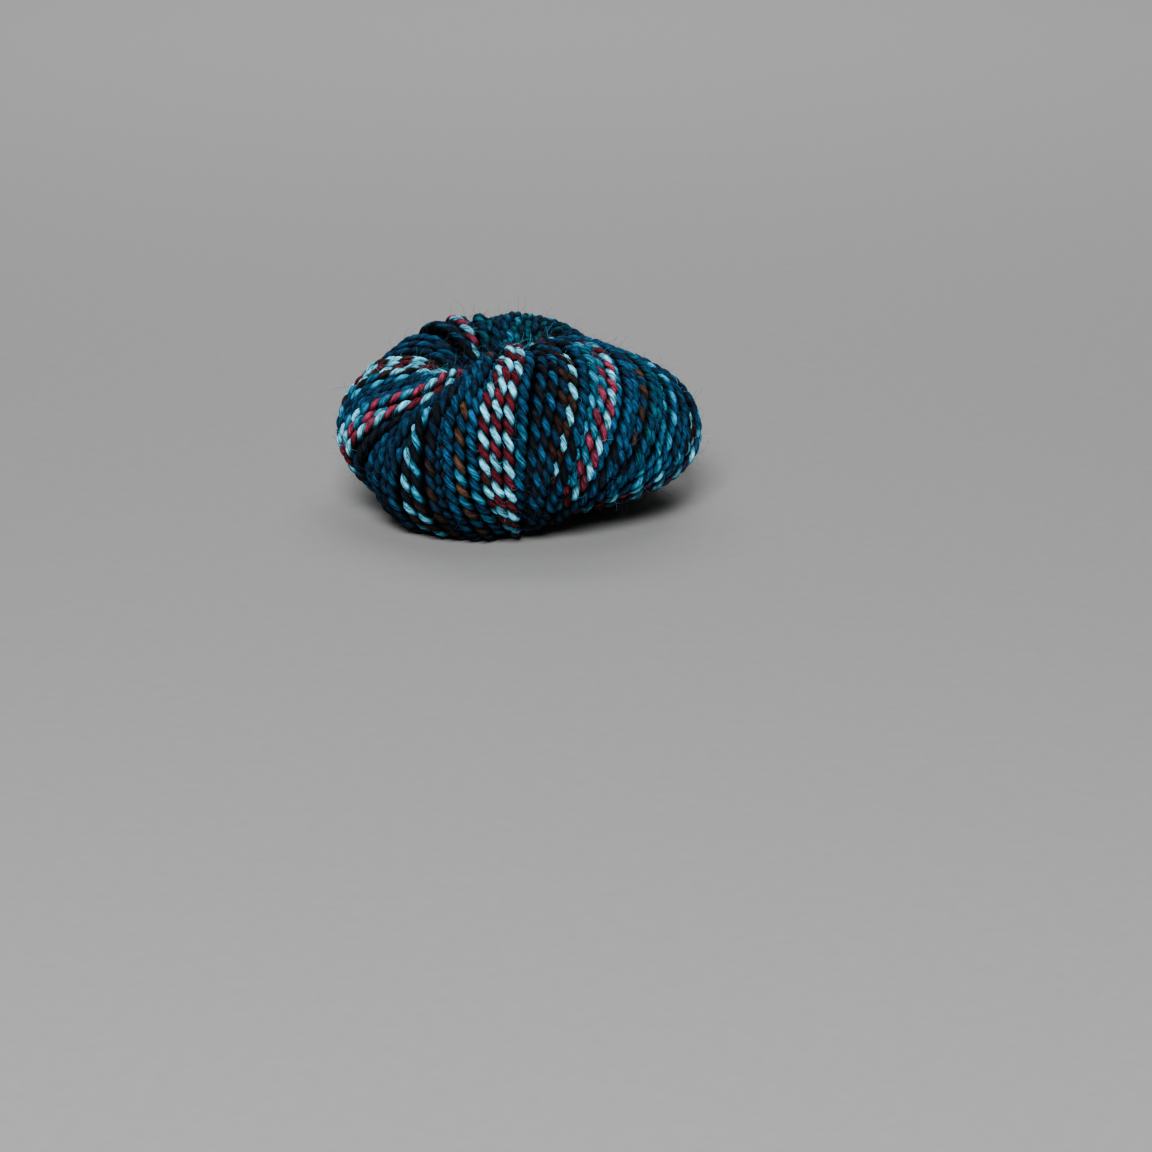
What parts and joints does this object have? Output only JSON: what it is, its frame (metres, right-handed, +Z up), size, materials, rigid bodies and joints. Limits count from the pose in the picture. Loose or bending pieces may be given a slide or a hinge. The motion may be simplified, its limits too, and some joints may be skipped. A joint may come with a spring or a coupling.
{
  "type": "yarn cake",
  "caption": "Ball of thick plied wool yarn wound round and round into a low ring with a winding hole off its middle, resting flat.",
  "frame": {"origin": "middle of the outline on the surface the cake rests on", "axes": "+Z up along the winding hole, +X towards the fat side of the ring, -Y towards the front of the picture"},
  "size_m": [0.0896, 0.0852, 0.0459],
  "materials": {
    "dyed_wool": "matt, softly fuzzy, plied wool"
  },
  "bodies": {
    "root": {"yarn_cake": "dyed_wool"}
  },
  "joints": []
}
